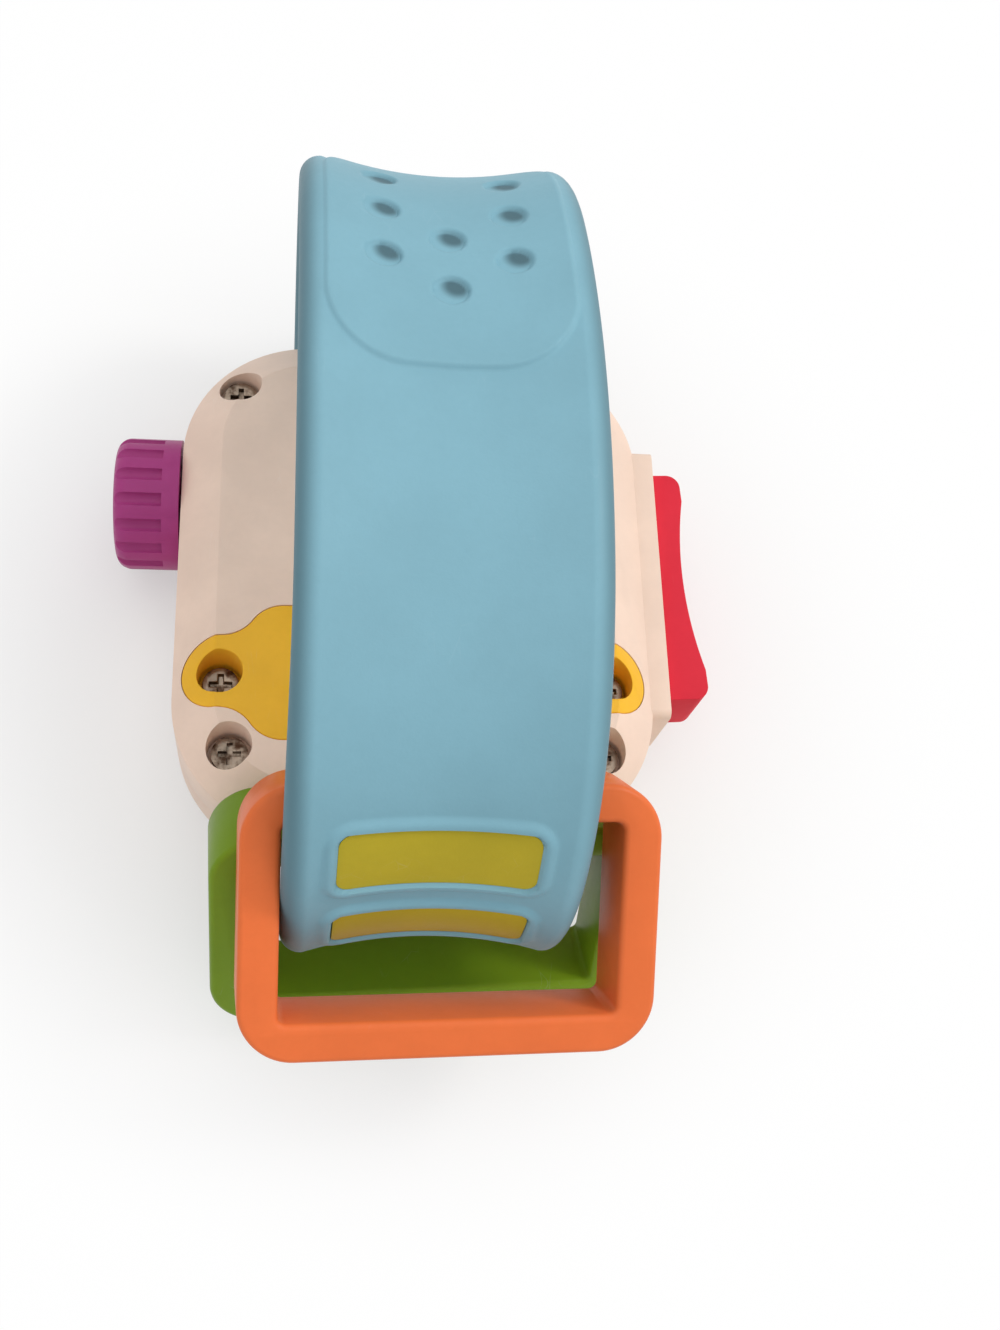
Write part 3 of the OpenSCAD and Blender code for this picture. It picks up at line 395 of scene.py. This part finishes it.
def strapLengths():
    look = strapLook
    turn = math.atan2(look["sideY"], look["bendZ"] - look["crownZ"])
    crown = look["crownRadius"] * turn
    side = crown + look["sideRadius"] * (math.pi / 2 - turn)
    bend = side + look["bendRadius"] * math.pi / 2
    return turn, crown, side, bend, bend + look["bendY"] - look["tongueEnd"]


def strapPath(s):  # place and outward direction in the YZ plane, s counted north from the top
    look = strapLook
    turn, crown, side, bend, end = strapLengths()
    t, sign = abs(s), math.copysign(1, s)
    if t <= crown:
        a, r, y, z = t / look["crownRadius"], look["crownRadius"], 0, look["crownZ"]
    elif t <= side:
        a, r, y, z = turn + (t - crown) / look["sideRadius"], look["sideRadius"], look["sideY"], look["bendZ"]
    else:
        a = math.pi / 2 + min(t - side, bend - side) / look["bendRadius"]
        r, y, z = look["bendRadius"], look["bendY"], look["bendZ"]
    slide = max(0, t - bend)
    out, up = math.sin(a), math.cos(a)
    return look["shift"] + sign * (y + r * out - slide), z + r * up, sign * out, up


def dishAt(s, v):
    look = strapLook
    radius = (look["dishHalf"] ** 2 + look["dish"] ** 2) / (2 * look["dish"])
    hollow = max(0, look["dish"] - radius + math.sqrt(radius ** 2 - v ** 2))
    return look["halfThick"] - hollow * (1 - softStep(abs(s), *look["dishFade"]))


def hollowAt(s, v):  # 1 on a dimple's floor, 0 outside
    dimple, share = strapLook["dimples"], 0
    for x, rows, shift in ((0, dimple["midRows"], 0), (dimple["side"], dimple["sideRows"], dimple["shift"])):
        for row in range(rows):
            reach = math.hypot(s - dimple["first"] - shift - row * dimple["pitch"], abs(v) - x)
            share = max(share, 1 - softStep(reach, *dimple["bowl"]))
    return share


def reliefAt(s, v):
    flap, dimple, inlay = strapLook["flap"], strapLook["dimples"], strapLook["inlays"]
    middle, half = (flap["tip"] + flap["end"]) / 2, (flap["end"] - flap["tip"]) / 2
    reach = roundedBox(v, s - middle, flap["halfWidth"], half, flap["corner"])
    height = flap["rise"] * (1 - softStep(reach, -flap["edge"], flap["edge"]))
    height -= dimple["depth"] * hollowAt(s, v)
    border = inlay["border"]
    for along in inlay["at"]:
        size = inlay["halfWidth"], inlay["halfLength"], inlay["corner"]
        outer = roundedBox(v, s - along, *[length + border for length in size])
        inner = roundedBox(v, s - along, *size)
        height = max(height, inlay["rise"] * (1 - softStep(outer, *inlay["borderEdge"])))
        inside = 1 - softStep(inner, *inlay["pocketEdge"])
        height = height * (1 - inside) - inlay["pocket"] * inside
    return height


def onStrap(s, v, u):
    look = strapLook
    y, z, ny, nz = strapPath(s)
    lean = look["lean"] * softStep(-s, *look["leanGrow"]) * (1 - softStep(-s, *look["leanFade"]))
    return (v - lean) * mm, (y + ny * u) * mm, (z + nz * u) * mm


def strapRows():
    end = strapLengths()[-1]
    stops = [-end] + [edge for zone in strapLook["fineZones"] for edge in zone] + [end]
    rows = [-end]
    for k, (low, high) in enumerate(zip(stops, stops[1:])):
        pace = strapLook["fine"] if k % 2 else strapLook["coarse"]
        count = max(1, round((high - low) / pace))
        rows += [low + (high - low) * (i + 1) / count for i in range(count)]
    return rows


def strapSection():  # closed outline from the inner middle round: (u, v, is on the outer face)
    look = strapLook
    flat, edge, rim = look["halfWidth"] - look["rim"], look["halfThick"] - look["rim"], look["rim"]
    count = round(2 * flat / look["column"])
    within, around = look["rimSteps"]
    lower = [math.pi / 2 * k / within for k in range(within + 1)]
    upper = [math.pi / 2 * k / around for k in range(around)]
    side = [(-edge - rim * math.cos(a), -flat - rim * math.sin(a), False) for a in lower]
    side += [(edge + rim * math.sin(a), -flat - rim * math.cos(a), True) for a in upper]
    outline = [(-look["halfThick"], v, False) for v in (0, -flat / 2)] + side
    outline += [(look["halfThick"], -flat + 2 * flat * k / count, True) for k in range(count + 1)]
    outline += [(u, -v, outer) for u, v, outer in reversed(side)]
    return outline + [(-look["halfThick"], flat / 2, False), outline[0]]


def makeStrap():
    rows, section = strapRows(), strapSection()
    bpy.ops.object.select_all(action="DESELECT")
    bpy.ops.mesh.primitive_grid_add(x_subdivisions=len(section) - 1, y_subdivisions=len(rows) - 1, size=2)
    strap = bpy.context.object
    dimple_shade = []
    # painted shade in each dimple sits off its middle, towards the north and the right
    north, right = strapLook["dimples"]["dimple_shade"]  # it lies off the dimple's middle
    for vertex in strap.data.vertices:
        i = round((vertex.co.x + 1) / 2 * (len(section) - 1))
        s = rows[round((vertex.co.y + 1) / 2 * (len(rows) - 1))]
        u, v, outer = section[i]
        if outer:
            u = min(u, dishAt(s, v)) + reliefAt(s, v)
        vertex.co = onStrap(s, v, u)
        # painted shade: strongest on a dimple's floor, shifted north and right, nothing off the outer face
        dimple_shade.append(min(1, 2 * hollowAt(s, v)) * hollowAt(s - north, v - right) if outer else 0)
    strap.data.attributes.new("dimple_shade", "FLOAT", "POINT").data.foreach_set("value", dimple_shade)
    startEdit(strap)
    bpy.ops.mesh.remove_doubles(threshold=strapLook["weld"] * mm)
    bpy.ops.mesh.fill_holes(sides=0)
    bpy.ops.mesh.select_all(action="SELECT")
    bpy.ops.mesh.normals_make_consistent(inside=False)
    endEdit()
    finishPiece(strap, "strap_loop", strapLook["smooth"], "strap")
    strap.data.materials[0] = materials["strap_plastic"]


def makeInlays():
    look = strapLook["inlays"]
    pads = []
    for along in look["at"]:
        bpy.ops.object.select_all(action="DESELECT")
        bpy.ops.mesh.primitive_plane_add(size=2)
        pad = bpy.context.object
        for vertex in pad.data.vertices:
            x, y, z = vertex.co
            vertex.co = (x * (look["halfWidth"] - look["gap"]), y * (look["halfLength"] - look["gap"]), z)
        startEdit(pad)
        bpy.ops.mesh.bevel(offset=look["corner"], segments=look["cornerSteps"], affect="VERTICES")
        for axis, (half, count) in enumerate(zip((look["halfWidth"], look["halfLength"]), look["cuts"])):
            for k in range(1, count):
                at = [0, 0, 0]
                at[axis] = -half + 2 * half * k / count
                bpy.ops.mesh.select_all(action="SELECT")
                bpy.ops.mesh.bisect(plane_co=at, plane_no=[float(axis == 0), float(axis == 1), 0])
        endEdit()
        wall = pad.modifiers.new("wall", "SOLIDIFY")
        wall.thickness = look["pocket"] + look["proud"] - look["gap"]
        wall.offset = 1
        bpy.ops.object.modifier_apply(modifier="wall")
        rounded = pad.modifiers.new("edge", "BEVEL")
        rounded.width = look["edge"]
        rounded.segments = look["edgeSteps"]
        rounded.limit_method = "ANGLE"
        rounded.angle_limit = math.radians(look["edgeAngle"])
        bpy.ops.object.modifier_apply(modifier="edge")
        for vertex in pad.data.vertices:
            v, t, height = vertex.co
            s = along + t
            vertex.co = onStrap(s, v, dishAt(s, v) - look["pocket"] + look["gap"] + height)
        pads.append(pad)
    bpy.ops.object.select_all(action="DESELECT")
    for pad in pads:
        pad.select_set(True)
    bpy.context.view_layer.objects.active = pads[0]
    bpy.ops.object.join()
    startEdit(pads[0])
    bpy.ops.mesh.normals_make_consistent(inside=False)
    endEdit()
    finishPiece(pads[0], "strap_pads", look["smooth"], "strap_inlays")


makeStrap()
makeInlays()
print("strap and pads are wrapped")


# rigid mouldings: a merged copy of each solid, its sharp edges broken by so many millimetres
mouldings = {
    "rear_shell": 0.45,
    "front_shell": 0.3,
    "bezel": 0,
    "battery_door": 0.35,
    "crown": 0.4,
    "rocker": 1.3,
    "rocker_housing": 0.5,
    "green_ring": 0.9,
    "orange_ring": 0.9,
    "case_screws": 0.2,
    "door_screws": 0.2,
    "hour_hand": 0.2,
    "minute_hand": 0.2,
    "hand_post": 0.3,
    "dial_marks": 0.15,
}
mouldLook = {"angle": 30, "steps": 3, "weld": 0.002, "flat": 0.3}


def dressNode(node, width):
    look = mouldLook
    piece = bpy.data.objects.new(node + "_moulding", nodes[node].data.copy())
    bpy.context.scene.collection.objects.link(piece)
    startEdit(piece)
    bpy.ops.mesh.customdata_custom_splitnormals_clear()
    bpy.ops.mesh.remove_doubles(threshold=look["weld"] * mm)
    bpy.ops.mesh.dissolve_limited(angle_limit=math.radians(look["flat"]))
    endEdit()
    if width:
        edge = piece.modifiers.new("edge", "BEVEL")
        edge.width = width * mm
        edge.segments = look["steps"]
        edge.limit_method = "ANGLE"
        edge.angle_limit = math.radians(look["angle"])
        edge.use_clamp_overlap = True
        bpy.ops.object.modifier_apply(modifier="edge")
    finishPiece(piece, node + "_moulding", look["angle"], node)


for node, width in mouldings.items():
    dressNode(node, width)
    print("moulding:", node)
